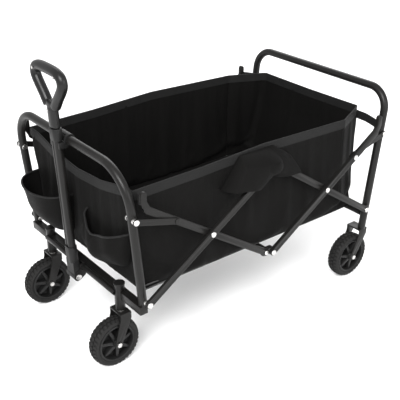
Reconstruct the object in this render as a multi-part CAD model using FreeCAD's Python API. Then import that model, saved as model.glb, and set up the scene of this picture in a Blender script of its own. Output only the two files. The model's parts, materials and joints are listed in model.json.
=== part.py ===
"""Folding wagon with a telescoping pull handle.

Frame: +X is forward (the handle end), +Y is the wagon's left side, +Z is up.
The origin is on the ground, under the middle of the overall length and width.
The model is built about the middle plane of the scissor arms and shifted once,
at export, by MID_X. Every length is in millimetres.
"""
import FreeCAD
import Part
import math
import os

V = FreeCAD.Vector
X, Y, Z = V(1, 0, 0), V(0, 1, 0), V(0, 0, 1)

# ---- driving dimensions: wheels and the heights that stand on them
WHEEL_R = 68.0
TYRE_W = 38.0
RIM_R = WHEEL_R - 16             # tyre seat on the rim
HUB_R = 12.0
SPOKES = 7
AXLE_R = 4.0
FORK_GAP = 3.0                   # tyre side to fork leg
FORK_T = 3.0
FORK_W = 32.0
CROWN_Z = 2 * WHEEL_R + 18       # top of the fork crowns
TRAIL = 24.0                     # caster wheel axle from the swivel axis
BAR = 22.0                       # square front crossbar
BAR_TOP_Z = CROWN_Z + 58
REAR_BAR_R = 9.0
REAR_BAR_Z = BAR_TOP_Z - 12
SLEEVE_R = 13.0
STEM_R = 6.0
SLEEVE_TOP_Z = BAR_TOP_Z + 20
NUT_ROOM = 14.0                  # hollow at the top of a sleeve, for the stem's nut

# ---- driving dimensions: scissor sides
PIVOT_X = 391.0                  # lower frame pivots, fore and aft of the scissor middle
PIVOT_Z = BAR_TOP_Z + 12         # height of the lower frame pivots and of the centre hubs
CROSS_RISE = 127.0               # height of the crossing rivets above the lower pivots
PIN_HALF = 8.0                   # half the distance between the two pins of a centre bracket
LINK_REACH = 124.0               # crossing rivet to link rivet, along the inner arm
TIP_BACK = 24.3                  # the bend of a front arm's tip, behind the front leg's axis
TIP_RISE = 34.0                  # how far the bent tip stands up
TIP_BEND = 14.0                  # length of the tip's bend, each side of its corner

# ---- driving dimensions: frames
LEG_R = 11.0                     # leg tube outer radius
TUBE_WALL = 1.5
LEG_Y = 267.0                    # leg centre line from the middle plane
FRONT_LEG_X = PIVOT_X + 3        # front leg axis at pivot height
REAR_LEG_X = -(PIVOT_X + 15)     # rear leg axis at pivot height
FRONT_LEAN = 5.0                 # degrees, tops lean away from the bed
REAR_LEAN = 6.5
FRONT_TOP_Z = PIVOT_Z + 343      # front top rail axis
REAR_TOP_Z = PIVOT_Z + 351
FRONT_BEND = 98.0                # bend radius of the front top corners
REAR_BEND = 60.0
LINK_Z = PIVOT_Z + 229           # height of the link pivots on the legs
FRONT_LINK_OFF = 2.3             # link pivot forward of the front leg axis
REAR_LINK_OFF = 2.0              # link pivot behind the rear leg axis

# ---- driving dimensions: where the crossbar, casters and rear wheels sit
BAR_X = PIVOT_X + 5
BAR_HALF = LEG_Y + 9
CASTER_X = PIVOT_X + 11
CASTER_Y = LEG_Y - 90
REAR_WHEEL_X = -(PIVOT_X - 27)
REAR_WHEEL_Y = LEG_Y - 17

# ---- driving dimensions: handle
POLE_W, POLE_D = 32.0, 20.0      # outer pole, across and along the wagon
INNER_W, INNER_D = POLE_W - 8, POLE_D - 6    # sliding pole
POLE_WALL = 1.2
POLE_X = PIVOT_X + 29.4 + POLE_D / 2         # hinge axis of the handle
POLE_Z = BAR_TOP_Z - 31
POLE_LEAN = 2.56                 # degrees, forward, when stowed
POLE_FROM, POLE_TO = 66.0, 398.0             # outer pole, from the hinge axis
COLLAR_DOWN, COLLAR_UP = 11.0, 20.0          # the collar, either side of the outer pole's end
GRIP_FROM = POLE_TO + 22         # bottom of the grip's neck
GRIP_LOW = GRIP_FROM + 46        # centre line of the grip's lower corner
GRIP_TOP = GRIP_LOW + 92         # centre line of the grip's top bar
GRIP_HALF = 68.0                 # centre line, half width
GRIP_R = 14.0                    # grip bar radius
GRIP_SHOULDER = 30.0             # the widest place, under the top bar
GRIP_SLOPE = 18.0                # how far the top corners come in
NECK_HALF = POLE_W / 2 + 3
INNER_FROM, INNER_TO = 98.0, GRIP_LOW - 8    # sliding pole, retracted
SOCKET_WALL = 2.5                # round the outer pole, in the socket and the collar

# ---- driving dimensions: fabric bed
BED_FLOOR_Z = PIVOT_Z + 8
BED_TOP_Z = PIVOT_Z + 2 * CROSS_RISE + 35
BED_FRONT_LOW, BED_FRONT_HIGH = PIVOT_X - 7, PIVOT_X + 7
BED_REAR_LOW, BED_REAR_HIGH = -(PIVOT_X - 25), -(PIVOT_X + 21)
BED_Y = LEG_Y - 17
BED_CORNER_X = -(PIVOT_X - 91)   # where the sides start to turn towards the rear corners
BED_CORNER_Y = BED_Y - 58        # half width of the straight rear rim
CLOTH = 4.0
BOARD_T = 2.0                    # the stiff board sewn into the floor, above the cloth
BOARD_IN = 25.0                  # board to side walls
FLAP_REACH = 90.0                # how far the side flap hangs down the long arm
FLAP_T = 2.5
FRONT_HEM_Z = BED_TOP_Z - 39
POUCH_Y = 132.0
POUCH_HALF = 98.0
POUCH_DEPTH = 66.0
POUCH_TOP_Z = BED_TOP_Z - 121
POUCH_LOW_Z = POUCH_TOP_Z - 142

# ---- layers across the side, from the legs outwards
GAP = 0.5                # between plates that turn on each other
IN_T = 6.0               # inner arms
OUT_T = 10.0             # outer arms
ARM_HALF = 9.0           # half the depth of an arm
TIP_HALF = 7.65          # half the depth of its bent tip
LINK_HALF = 8.0          # half the depth of a link
LINK_T = 3.0
PIN_R = 4.0
HEAD_R, HEAD_T = 7.5, 2.5
SMALL_HEAD_R = 2 * PIN_HALF - ARM_HALF - 0.5     # a head beside the next arm's round end
FIT = 0.05               # radial clearance of a pin in a turning hole
SNUG = 0.1               # clearance round a seated part
PLAY = 0.2               # end play of a pin

LEG_FACE = LEG_Y + LEG_R
IN_0 = LEG_FACE + GAP
IN_1 = IN_0 + IN_T
OUT_0 = IN_1 + 2 * GAP
OUT_1 = OUT_0 + OUT_T
PLATE_T = 4.0            # centre brackets, inboard of the inner arms
PLATE_1 = IN_0 - GAP
PLATE_0 = PLATE_1 - PLATE_T

parts = {}


def add(name, *solids):
    """Keep the solids of one node."""
    parts.setdefault(name, []).extend(solids)


def box(x0, x1, y0, y1, z0, z1):
    return Part.makeBox(x1 - x0, y1 - y0, z1 - z0, V(x0, y0, z0))


def rod(p, axis, length, r):
    return Part.makeCylinder(r, length, p, axis)


def rod_y(x, z, y0, y1, r):
    return rod(V(x, y0, z), Y, y1 - y0, r)


def rod_z(x, y, z0, z1, r):
    return rod(V(x, y, z0), Z, z1 - z0, r)


def fuse(*shapes):
    whole = shapes[0]
    for s in shapes[1:]:
        whole = whole.fuse(s)
    return whole.removeSplitter()


def other_side(shape):
    """The same piece on the right side of the wagon."""
    return shape.mirror(V(0, 0, 0), Y)


def both(name, shape):
    add(name, shape, other_side(shape))


def turned_y(shape, degrees, at):
    s = shape.copy()
    s.rotate(at, Y, degrees)
    return s


# ---- points of the linkage, in the plane of the side
def scissor_points(angle):
    """Pivot places for an arm angle from the vertical, about the middle plane."""
    run, rise = ARM * math.sin(angle), ARM * math.cos(angle)
    return {
        "low": (PIN_HALF + 2 * run, PIVOT_Z),
        "cross": (PIN_HALF + run, PIVOT_Z + rise),
        "top": (PIN_HALF, PIVOT_Z + 2 * rise),
        "hub": (PIN_HALF, PIVOT_Z),
    }


ARM_RUN = (PIVOT_X - PIN_HALF) / 2
ARM = math.hypot(ARM_RUN, CROSS_RISE)       # half an arm
OPEN = math.atan2(ARM_RUN, CROSS_RISE)      # arm angle from the vertical, open
POINTS = scissor_points(OPEN)
LOW, CROSS, TOP, HUB = (POINTS[k] for k in ("low", "cross", "top", "hub"))
SIN, COS = math.sin(OPEN), math.cos(OPEN)


def along(start, reach, side=1):
    """A point further up an arm that leans towards side."""
    return (start[0] + side * reach * SIN, start[1] + reach * COS)


def leg_x(z, front=True):
    if front:
        return FRONT_LEG_X + math.tan(math.radians(FRONT_LEAN)) * (z - PIVOT_Z)
    return REAR_LEG_X - math.tan(math.radians(REAR_LEAN)) * (z - PIVOT_Z)


LEAN_RATIO = math.tan(math.radians(FRONT_LEAN))
TIP_RUN = FRONT_LEG_X - TIP_BACK - CROSS[0] + LEAN_RATIO * (CROSS[1] - PIVOT_Z)
TIP_REACH = TIP_RUN / (SIN - LEAN_RATIO * COS)          # crossing rivet to the tip's corner
LINK_E = along(CROSS, LINK_REACH)                       # link rivet on the inner arm
FRONT_L = (leg_x(LINK_Z) + FRONT_LINK_OFF, LINK_Z)
REAR_L = (leg_x(LINK_Z, False) - REAR_LINK_OFF, LINK_Z)
TIP = along(CROSS, TIP_REACH)


def flip(p):
    return (-p[0], p[1])


# ---- shapes used more than once
def stadium(p, q, half, y0, y1):
    """A flat bar with round ends between two points of the side's plane."""
    length = math.hypot(q[0] - p[0], q[1] - p[1])
    bar = box(0, length, y0, y1, -half, half)
    bar = fuse(bar, rod_y(0, 0, y0, y1, half), rod_y(length, 0, y0, y1, half))
    bar.rotate(V(0, 0, 0), Y, -math.degrees(math.atan2(q[1] - p[1], q[0] - p[0])))
    bar.translate(V(p[0], 0, p[1]))
    return bar


def drilled(shape, points, y0, y1, r=PIN_R + FIT):
    for x, z in points:
        shape = shape.cut(rod_y(x, z, y0 - 1, y1 + 1, r))
    return shape


def rivet(p, y0, y1, head_in=True, head_r=HEAD_R):
    """A pin across y0..y1 with a domed head outside and a flat one inside."""
    pin = rod_y(p[0], p[1], y0, y1, PIN_R)
    dome = rod_y(p[0], p[1], y1, y1 + HEAD_T, head_r)
    rim = dome.Edges[0] if dome.Edges[0].CenterOfMass.y > y1 + 1 else dome.Edges[2]
    dome = dome.makeFillet(HEAD_T * 0.7, [rim])
    pieces = [pin, dome]
    if head_in:
        pieces.append(rod_y(p[0], p[1], y0 - HEAD_T, y0, head_r))
    return fuse(*pieces)


def tip_arm(hub, cross, y0, y1, side):
    """An arm from its hub pin, through the crossing, to a tip that bends upright."""
    near = along(cross, TIP_REACH - TIP_BEND, side)
    corner = along(cross, TIP_REACH, side)
    bent = (corner[0], corner[1] + TIP_BEND)
    end = (corner[0], corner[1] + TIP_RISE)
    straight = stadium(hub, near, ARM_HALF, y0, y1)
    elbow = stadium(near, bent, TIP_HALF, y0, y1)
    tip = stadium(bent, end, TIP_HALF, y0, y1)
    return fuse(straight, elbow, tip)


# ---- frames
def u_tube(bottom, top, bend, r):
    """A hollow inverted U in the plane x = 0, heights measured along its legs."""
    start, inset = top - bend, bend * (1 - math.sqrt(0.5))
    leg = [V(0, LEG_Y, bottom), V(0, LEG_Y, start)]
    left = leg + [V(0, LEG_Y - inset, top - inset), V(0, LEG_Y - bend, top)]
    right = [V(0, -p.y, p.z) for p in left]
    path = [
        Part.LineSegment(left[0], left[1]),
        Part.Arc(left[1], left[2], left[3]),
        Part.LineSegment(left[3], right[3]),
        Part.Arc(right[3], right[2], right[1]),
        Part.LineSegment(right[1], right[0]),
    ]
    wire = Part.Wire([p.toShape() for p in path])
    rings = [Part.Wire([Part.makeCircle(radius, left[0], Z)]) for radius in (r, r - TUBE_WALL)]
    solid, bore = [wire.makePipeShell([ring], True, True) for ring in rings]
    return solid.cut(bore)


def below(leg_x0, cut_z):
    """Everything under a height, round both legs of a frame."""
    wide, side = 4 * LEG_R, 2 * LEG_Y
    return box(leg_x0 - wide, leg_x0 + wide, -side, side, cut_z - PIVOT_Z, cut_z)


def leaning_u(leg_x0, lean, top_z, bend, cut_z):
    """The U tube leaned about the pivot height, its legs cut level at cut_z."""
    c = math.cos(math.radians(lean))
    tube = u_tube((cut_z - PIVOT_Z) / c - LEG_R, (top_z - PIVOT_Z) / c, bend, LEG_R)
    tube.rotate(V(0, 0, 0), Y, lean)
    tube.translate(V(leg_x0, 0, PIVOT_Z))
    return tube.cut(below(leg_x0, cut_z))


def leg_plug(leg_x0, lean, cut_z):
    """A solid plug in the bottom of a leg, which the lower rivet passes through."""
    plug = rod_z(0, LEG_Y, cut_z - PIVOT_Z - LEG_R, 16, LEG_R - TUBE_WALL - FIT)
    plug.rotate(V(0, 0, 0), Y, lean)
    plug.translate(V(leg_x0, 0, PIVOT_Z))
    return plug.cut(below(leg_x0, cut_z))


def caster_notch(grow):
    """The space a caster sleeve takes in the bars beside it."""
    return rod_z(CASTER_X, CASTER_Y, CROWN_Z, SLEEVE_TOP_Z + 1, SLEEVE_R + grow)


def build_front_frame():
    tube = leaning_u(FRONT_LEG_X, FRONT_LEAN, FRONT_TOP_Z, FRONT_BEND, BAR_TOP_Z)
    plug = leg_plug(FRONT_LEG_X, FRONT_LEAN, BAR_TOP_Z)
    for p, y1 in ((LOW, OUT_1), (FRONT_L, OUT_0 + LINK_T)):
        hole = rod_y(p[0], p[1], LEG_Y - 2 * LEG_R, LEG_Y + 2 * LEG_R, PIN_R)
        tube = tube.cut(hole).cut(other_side(hole))
        plug = plug.cut(hole)
        pin = rivet(p, LEG_Y - LEG_R, y1 + PLAY)
        spacer = rod_y(p[0], p[1], LEG_FACE, OUT_0 - GAP, HEAD_R)
        both("front_frame_rivets", fuse(pin, spacer))
    add("front_frame_tube", tube)
    both("front_leg_plugs", plug)


def build_front_crossbar():
    back, front = BAR_X - BAR / 2, BAR_X + BAR / 2
    low, w = BAR_TOP_Z - BAR, TUBE_WALL
    bar = box(back, front, -BAR_HALF, BAR_HALF, low, BAR_TOP_Z)
    room = box(back + w, front - w, w - BAR_HALF, BAR_HALF - w, low + w, BAR_TOP_Z - w)
    bar = bar.cut(room).cut(caster_notch(SNUG)).cut(other_side(caster_notch(SNUG)))
    add("front_crossbar", *bar.Solids)


def build_caster_sleeves():
    lip, lip_down, lip_up = 1.5, 3.0, 1.5
    sleeve = rod_z(CASTER_X, CASTER_Y, CROWN_Z + 2, SLEEVE_TOP_Z, SLEEVE_R)
    collar = rod_z(CASTER_X, CASTER_Y, SLEEVE_TOP_Z - lip_down, SLEEVE_TOP_Z + lip_up, SLEEVE_R + lip)
    nut_floor = SLEEVE_TOP_Z - NUT_ROOM
    nut_room = rod_z(CASTER_X, CASTER_Y, nut_floor, SLEEVE_TOP_Z - lip_down, SLEEVE_R - 3)
    bore = rod_z(CASTER_X, CASTER_Y, CROWN_Z, nut_floor + 1, STEM_R + FIT)
    both("caster_sleeves", fuse(sleeve, collar).cut(bore).cut(nut_room))


YOKE_R = 7.0
YOKE_X = BAR_X + BAR / 2 + 0.3 + YOKE_R
YOKE_Z = BAR_TOP_Z - 6
YOKE_FROM = POLE_W / 2 + 6       # where the yoke bars meet the hinge bracket
CHEEK_T = 3.0
CHEEK_0 = YOKE_FROM - CHEEK_T - SNUG
HINGE_R = PIN_R + 1
HINGE_HEAD_R = 8.0


def build_yoke():
    """The lighter bar in front of the crossbar, from each sleeve to the handle hinge."""
    notch_r = SLEEVE_R + PLAY
    side = math.sqrt(notch_r ** 2 - min(SLEEVE_R, YOKE_X - CASTER_X) ** 2)
    end = CASTER_Y - side + 3
    bar = rod_y(YOKE_X, YOKE_Z, YOKE_FROM, end, YOKE_R)
    bar = bar.cut(rod_y(YOKE_X, YOKE_Z, YOKE_FROM - 1, end + 1, YOKE_R - TUBE_WALL))
    both("yoke_bars", bar.cut(caster_notch(SNUG)))


def build_handle_bracket():
    """Two cheeks under the crossbar carry the hinge bolt of the handle."""
    back = BAR_X + BAR / 2 + PLAY
    low, end = BAR_TOP_Z - BAR, CHEEK_0 + CHEEK_T
    face = box(back, YOKE_X + YOKE_R + 2, CHEEK_0, end, low, BAR_TOP_Z + 4)
    ear = stadium((back + 10, low), (POLE_X, POLE_Z), 12, CHEEK_0, end)
    ear = ear.cut(box(0, back, 0, end + 1, 0, BAR_TOP_Z))
    cheek = fuse(face, ear).cut(rod_y(POLE_X, POLE_Z, 0, end + 1, HINGE_R + FIT))
    web = box(back, back + CHEEK_T, -CHEEK_0, CHEEK_0, low, BAR_TOP_Z)
    add("handle_bracket", fuse(cheek, other_side(cheek), web))
    bolt = fuse(
        rod_y(POLE_X, POLE_Z, -end, end, HINGE_R),
        rod_y(POLE_X, POLE_Z, end, end + 4, HINGE_HEAD_R),
        rod_y(POLE_X, POLE_Z, -end - 5, -end, HINGE_HEAD_R),
    )
    add("handle_hinge_bolt", bolt)


def racetrack(w, d, z0, z1):
    """A flat-sided tube section with round edges, w across Y and d along X."""
    r = d / 2
    core = box(-r, r, -(w / 2 - r), w / 2 - r, z0, z1)
    return fuse(core, rod_z(0, w / 2 - r, z0, z1, r), rod_z(0, r - w / 2, z0, z1, r))


def stand(shape):
    """From the handle's own upright frame to its stowed place."""
    s = shape.copy()
    s.rotate(V(0, 0, 0), Y, POLE_LEAN)
    s.translate(V(POLE_X, 0, POLE_Z))
    return s


def sleeve_section(w, d, z0, z1, fit):
    """What a flat-sided tube of this size leaves free when it goes through."""
    return racetrack(w + 2 * fit, d + 2 * fit, z0, z1)


def flat_tube(w, d, z0, z1):
    return racetrack(w, d, z0, z1).cut(racetrack(w - 2 * POLE_WALL, d - 2 * POLE_WALL, z0 - 1, z1 + 1))


def build_handle():
    side = CHEEK_0 - 0.3
    wide, deep = POLE_W + 2 * SOCKET_WALL, POLE_D + 2 * SOCKET_WALL
    seat = POLE_FROM
    heel = rod_y(0, 0, -side, side, 12)
    stem = box(-9, 9, -side, side, 0, seat - 20)
    cup = racetrack(wide, deep, seat - 24, seat + 22)
    cup = cup.cut(sleeve_section(POLE_W, POLE_D, seat, seat + 30, FIT))
    socket = fuse(heel, stem, cup).cut(rod_y(0, 0, -2 * side, 2 * side, HINGE_R + FIT))
    add("handle_socket", stand(socket))
    add("handle_outer_pole", stand(flat_tube(POLE_W, POLE_D, POLE_FROM, POLE_TO)))

    low, high = POLE_TO - COLLAR_DOWN, POLE_TO + COLLAR_UP
    collar = racetrack(wide, deep, low, high)
    collar = collar.cut(sleeve_section(POLE_W, POLE_D, low - 1, POLE_TO, FIT))
    collar = collar.cut(sleeve_section(INNER_W, INNER_D, low, high + 1, SNUG))
    add("handle_collar", stand(collar))
    add("handle_inner_pole", stand(flat_tube(INNER_W, INNER_D, INNER_FROM, INNER_TO)))


def grip_loop():
    """The solid loop, as rods with balls at its corners."""
    shoulder, corner = GRIP_TOP - GRIP_SHOULDER, GRIP_HALF - GRIP_SLOPE
    half = [V(0, 12, GRIP_LOW), V(0, GRIP_HALF, shoulder), V(0, corner, GRIP_TOP)]
    pts = half + [V(0, -p.y, p.z) for p in reversed(half)]
    pieces = []
    for p, q in zip(pts, pts[1:] + pts[:1]):
        pieces.append(Part.makeCylinder(GRIP_R, (q - p).Length, p, q - p))
        pieces.append(Part.makeSphere(GRIP_R, p))
    return pieces


def build_grip():
    neck = racetrack(2 * NECK_HALF, POLE_D + 4, GRIP_FROM, GRIP_LOW + 6)
    grip = fuse(neck, *grip_loop())
    grip = grip.cut(sleeve_section(INNER_W, INNER_D, GRIP_FROM - 1, INNER_TO + SNUG, FIT))
    reach, low, high = 2 * GRIP_HALF, GRIP_FROM - 5, GRIP_TOP + 2 * GRIP_R
    for name, x0, x1 in (("grip_front_shell", SNUG, reach), ("grip_rear_shell", -reach, -SNUG)):
        half = grip.common(box(x0, x1, -reach, reach, low, high))
        add(name, *[stand(piece) for piece in half.Solids])
    screw_y = GRIP_HALF - GRIP_SLOPE
    for y, z in ((0, GRIP_LOW), (screw_y, GRIP_TOP), (-screw_y, GRIP_TOP)):
        add("grip_screws", stand(rod(V(GRIP_R + FIT, y, z), X, 1.6, 3.6)))


def build_handle_clip():
    """A plastic catch on the front top rail that holds the stowed pole."""
    rail_x, rail_z = leg_x(FRONT_TOP_Z), FRONT_TOP_Z
    wall, jaw = 4.0, 5.0
    jaw_0 = POLE_W / 2 + 0.8
    jaw_1 = jaw_0 + jaw
    face = rail_x + 6
    pole_x = POLE_X + math.tan(math.radians(POLE_LEAN)) * (rail_z - POLE_Z)
    body = rod_y(rail_x, rail_z, -jaw_1, jaw_1, LEG_R + wall)
    arm = box(face, pole_x + 6, jaw_0, jaw_1, rail_z - 18, rail_z - 2)
    clip = fuse(body, arm, other_side(arm))
    clip = clip.cut(rod_y(rail_x, rail_z, -2 * jaw_1, 2 * jaw_1, LEG_R + SNUG))
    clip = clip.cut(box(face, face + 2 * POLE_D, -jaw_0, jaw_0, rail_z - 40, rail_z + 40))
    add("handle_clip", *clip.Solids)


def build_rear_frame():
    tube = leaning_u(REAR_LEG_X, -REAR_LEAN, REAR_TOP_Z, REAR_BEND, CROWN_Z)
    hole = rod_y(REAR_L[0], REAR_L[1], LEG_Y - 2 * LEG_R, LEG_Y + 2 * LEG_R, PIN_R)
    add("rear_frame_tube", tube.cut(hole).cut(other_side(hole)))
    both("rear_frame_rivets", rivet(REAR_L, LEG_Y - LEG_R, IN_0 + LINK_T + PLAY))

    x = leg_x(REAR_BAR_Z, False)
    reach = LEG_Y - LEG_R - 0.3
    bar = rod_y(x, REAR_BAR_Z, -reach, reach, REAR_BAR_R)
    add("rear_crossbar", bar.cut(rod_y(x, REAR_BAR_Z, -reach - 1, reach + 1, REAR_BAR_R - TUBE_WALL)))


def build_rear_ears():
    """Plates welded to the rear legs, which carry the lower pivots of the rear arms."""
    low = flip(LOW)
    ear_half, weld_y = 10.0, LEG_Y - 1
    ear = stadium((REAR_LEG_X + LEG_R - 2, PIVOT_Z), low, ear_half, weld_y, PLATE_1)
    wrap = rod(V(REAR_LEG_X, LEG_Y, PIVOT_Z - 3 * ear_half), Z, 6 * ear_half, LEG_R + PLAY)
    wrap = turned_y(wrap, -REAR_LEAN, V(REAR_LEG_X, 0, PIVOT_Z))
    both("rear_pivot_ears", ear.cut(wrap).cut(rod_y(low[0], low[1], weld_y - 1, PLATE_1 + 1, PIN_R + FIT)))
    both("rear_frame_rivets", rivet(low, weld_y - PLAY, IN_1 + PLAY, head_in=False))


# ---- side arms
def build_arms():
    tip_front = tip_arm(HUB, CROSS, IN_0, IN_1, 1)
    tip_front = drilled(tip_front, [HUB, CROSS], IN_0, IN_1)
    long_front = drilled(stadium(LOW, TOP, ARM_HALF, OUT_0, OUT_1), [LOW, CROSS, TOP], OUT_0, OUT_1)
    tip_rear = tip_arm(flip(HUB), flip(CROSS), OUT_0, OUT_1, -1)
    tip_rear = drilled(tip_rear, [flip(HUB), flip(CROSS)], OUT_0, OUT_1)
    long_rear = stadium(flip(LOW), flip(TOP), ARM_HALF, IN_0, IN_1)
    long_rear = drilled(long_rear, [flip(LOW), flip(CROSS), flip(TOP)], IN_0, IN_1)
    for name, arm in (
        ("front_long_arm", long_front),
        ("front_tip_arm", tip_front),
        ("rear_long_arm", long_rear),
        ("rear_tip_arm", tip_rear),
    ):
        add(name + "_left", arm)
        add(name + "_right", other_side(arm))
    both("front_arm_rivets", rivet(CROSS, IN_0 - PLAY, OUT_1 + PLAY))
    both("rear_arm_rivets", rivet(flip(CROSS), IN_0 - PLAY, OUT_1 + PLAY))


def link(frame_end, arm_end, y0):
    """A flat link, drilled for the rivet at the frame's end."""
    y1 = y0 + LINK_T
    plate = stadium(frame_end, arm_end, LINK_HALF, y0, y1)
    return drilled(plate, [frame_end], y0, y1)


def build_links():
    """Links from the frames to the arms. The pin at the arm's end stops at the arm's face."""
    short = 0.3
    end = LINK_E
    face = OUT_0 + LINK_T
    stub = rod_y(end[0], end[1], IN_1 + short, OUT_0, PIN_R)
    head = rod_y(end[0], end[1], face, face + HEAD_T, HEAD_R)
    both("front_links", fuse(link(FRONT_L, end, OUT_0), stub, head))
    end = flip(LINK_E)
    stub = rod_y(end[0], end[1], IN_0 + LINK_T, OUT_0 - short, PIN_R)
    both("rear_links", fuse(link(REAR_L, end, IN_0), stub))
    both("rear_arm_rivets", rod_y(end[0], end[1], OUT_1, OUT_1 + HEAD_T, HEAD_R))


def centre_bracket(z, *extra):
    """A plate with two holes, one for each arm that meets in the middle."""
    plate = fuse(stadium((-PIN_HALF, z), (PIN_HALF, z), ARM_HALF + 4, PLATE_0, PLATE_1), *extra)
    return drilled(plate, [(-PIN_HALF, z), (PIN_HALF, z)], PLATE_0 - 2, PLATE_1)


def centre_pins(outer, inner, y0, head_in):
    """The pins of the outer and of the inner arm at one bracket."""
    spacer = rod_y(outer[0], outer[1], IN_0, OUT_0 - PLAY, PIN_R + 2)
    long_pin = fuse(rivet(outer, y0, OUT_1 + PLAY, head_in), spacer)
    return long_pin, rivet(inner, y0, IN_1 + PLAY, head_in, SMALL_HEAD_R)


def build_centre():
    both("hub_brackets", centre_bracket(PIVOT_Z))
    hub_pins = centre_pins(flip(HUB), HUB, PLATE_0 - PLAY, True)
    top_pins = centre_pins(TOP, flip(TOP), PLATE_0, False)
    for long_pin, short_pin in (hub_pins, top_pins):
        name = "hub_pins" if long_pin is hub_pins[0] else "top_pins"
        both(name, long_pin)
        both(name, short_pin)

    tube_r, reach = 6.0, PLATE_0 - PLAY
    z = BED_FLOOR_Z - tube_r - 0.3
    tube = rod_y(0, z, -reach, reach, tube_r).cut(rod_y(0, z, -reach - 1, reach + 1, tube_r - TUBE_WALL))
    for x in (-PIN_HALF, PIN_HALF):
        head_room = rod_y(x, PIVOT_Z, PLATE_0 - 4, PLATE_0 + 4, HEAD_R + PLAY)
        tube = tube.cut(head_room).cut(other_side(head_room))
    add("hub_cross_tube", tube)

    z = TOP[1]
    hook = box(-9, 9, BED_Y + 0.3, PLATE_0 + 1, z + 5, z + 11)
    both("rim_hangers", centre_bracket(z, hook))


# ---- wheels and forks
def rim(x, y):
    """A moulded rim: tyre seat, hub and spokes, axle along Y."""
    seat_half, ring_t = TYRE_W / 2 - 3, 7.0
    ring = rod_y(x, WHEEL_R, y - seat_half, y + seat_half, RIM_R - SNUG)
    ring = ring.cut(rod_y(x, WHEEL_R, y - seat_half - 1, y + seat_half + 1, RIM_R - ring_t))
    hub_half, boss_half = TYRE_W / 2 + 1, TYRE_W / 2 + FORK_GAP - 0.3
    hub = rod_y(x, WHEEL_R, y - hub_half, y + hub_half, HUB_R)
    boss = rod_y(x, WHEEL_R, y - boss_half, y + boss_half, 2 * AXLE_R)
    pieces = [ring, hub, boss]
    spoke_half, spoke_z = 5.0, 4.5
    for i in range(SPOKES):
        spoke = box(HUB_R - 3, RIM_R - ring_t + 2, -spoke_half, spoke_half, -spoke_z, spoke_z)
        spoke.rotate(V(0, 0, 0), Y, 360.0 * i / SPOKES + 90)
        spoke.translate(V(x, y, WHEEL_R))
        pieces.append(spoke)
    return fuse(*pieces).cut(rod_y(x, WHEEL_R, y - TYRE_W, y + TYRE_W, AXLE_R + FIT))


def tyre(x, y):
    """A chunky tyre: a turned ring with a flat tread and rounded shoulders."""
    half, shoulder, tread = TYRE_W / 2, WHEEL_R - 5, TYRE_W / 2 - 7
    right = [(RIM_R, 4 - half), (RIM_R + 6, -half), (shoulder, -half), (WHEEL_R, -tread)]
    profile = right + [(r, -w) for r, w in reversed(right)]
    face = Part.Face(Part.makePolygon([V(r, w, 0) for r, w in profile + profile[:1]]))
    ring = face.revolve(V(0, 0, 0), Y, 360)
    ring.translate(V(x, y, WHEEL_R))
    return ring


def wheel(tag, x, y):
    add("wheel_rim_" + tag, rim(x, y))
    add("tyre_" + tag, tyre(x, y))


def fork(crown_x, axle_x, y):
    """A bent fork: a crown plate with folded edges and two tapered legs."""
    inner = TYRE_W / 2 + FORK_GAP
    outer = inner + FORK_T
    crown_t, skirt, foot_r = 4.0, 18.0, 11.0
    x0, x1, low = crown_x - FORK_W / 2, crown_x + FORK_W / 2, CROWN_Z - skirt
    corners = [
        V(x0, 0, CROWN_Z),
        V(x1, 0, CROWN_Z),
        V(x1, 0, low),
        V(axle_x + foot_r, 0, WHEEL_R),
        V(axle_x - foot_r, 0, WHEEL_R),
        V(x0, 0, low),
    ]
    plate = Part.Face(Part.makePolygon(corners + corners[:1])).extrude(V(0, FORK_T, 0))
    plate = fuse(plate, rod_y(axle_x, WHEEL_R, 0, FORK_T, foot_r))
    pieces = [box(x0, x1, y - outer, y + outer, CROWN_Z - crown_t, CROWN_Z)]
    for side_y in (y - outer, y + inner):
        leg = plate.copy()
        leg.translate(V(0, side_y, 0))
        pieces.append(leg)
    return fuse(*pieces).cut(rod_y(axle_x, WHEEL_R, y - 2 * outer, y + 2 * outer, AXLE_R + FIT))


def axle(x, y):
    """A bolt with a hexagon head and a nut outside the fork legs."""
    outer = TYRE_W / 2 + FORK_GAP + FORK_T
    head_r, head_t = 7.0, 4.5
    corners = [math.radians(60 * i) for i in range(7)]
    hexagon = Part.makePolygon([V(head_r * math.cos(a), 0, head_r * math.sin(a)) for a in corners])
    head = Part.Face(hexagon).extrude(V(0, head_t, 0))
    nut = head.copy()
    head.translate(V(x, y + outer + SNUG, WHEEL_R))
    nut.translate(V(x, y - outer - SNUG - head_t, WHEEL_R))
    return fuse(rod_y(x, WHEEL_R, y - outer - PLAY, y + outer + PLAY, AXLE_R), head, nut)


def build_casters():
    washer_t, plate_t = 1.8, 3.0
    for y, tag in ((CASTER_Y, "left"), (-CASTER_Y, "right")):
        body = fork(CASTER_X, CASTER_X + TRAIL, y)
        crown_low = CROWN_Z - 4
        add("caster_fork_" + tag, body.cut(rod_z(CASTER_X, y, CROWN_Z - 20, CROWN_Z + 1, STEM_R)))
        shank = rod_z(CASTER_X, y, crown_low, SLEEVE_TOP_Z - NUT_ROOM / 2, STEM_R)
        head = rod_z(CASTER_X, y, crown_low - plate_t, crown_low, STEM_R + 4)
        washer = rod_z(CASTER_X, y, CROWN_Z, CROWN_Z + washer_t, SLEEVE_R - 1)
        washer = washer.cut(rod_z(CASTER_X, y, CROWN_Z - 1, CROWN_Z + 2 * washer_t, STEM_R))
        nut = rod_z(CASTER_X, y, SLEEVE_TOP_Z - NUT_ROOM + 0.4, SLEEVE_TOP_Z - 4.5, STEM_R + 3)
        add("caster_bolts_" + tag, fuse(shank, head, washer, nut), axle(CASTER_X + TRAIL, y))
        wheel("front_" + tag, CASTER_X + TRAIL, y)


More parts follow.
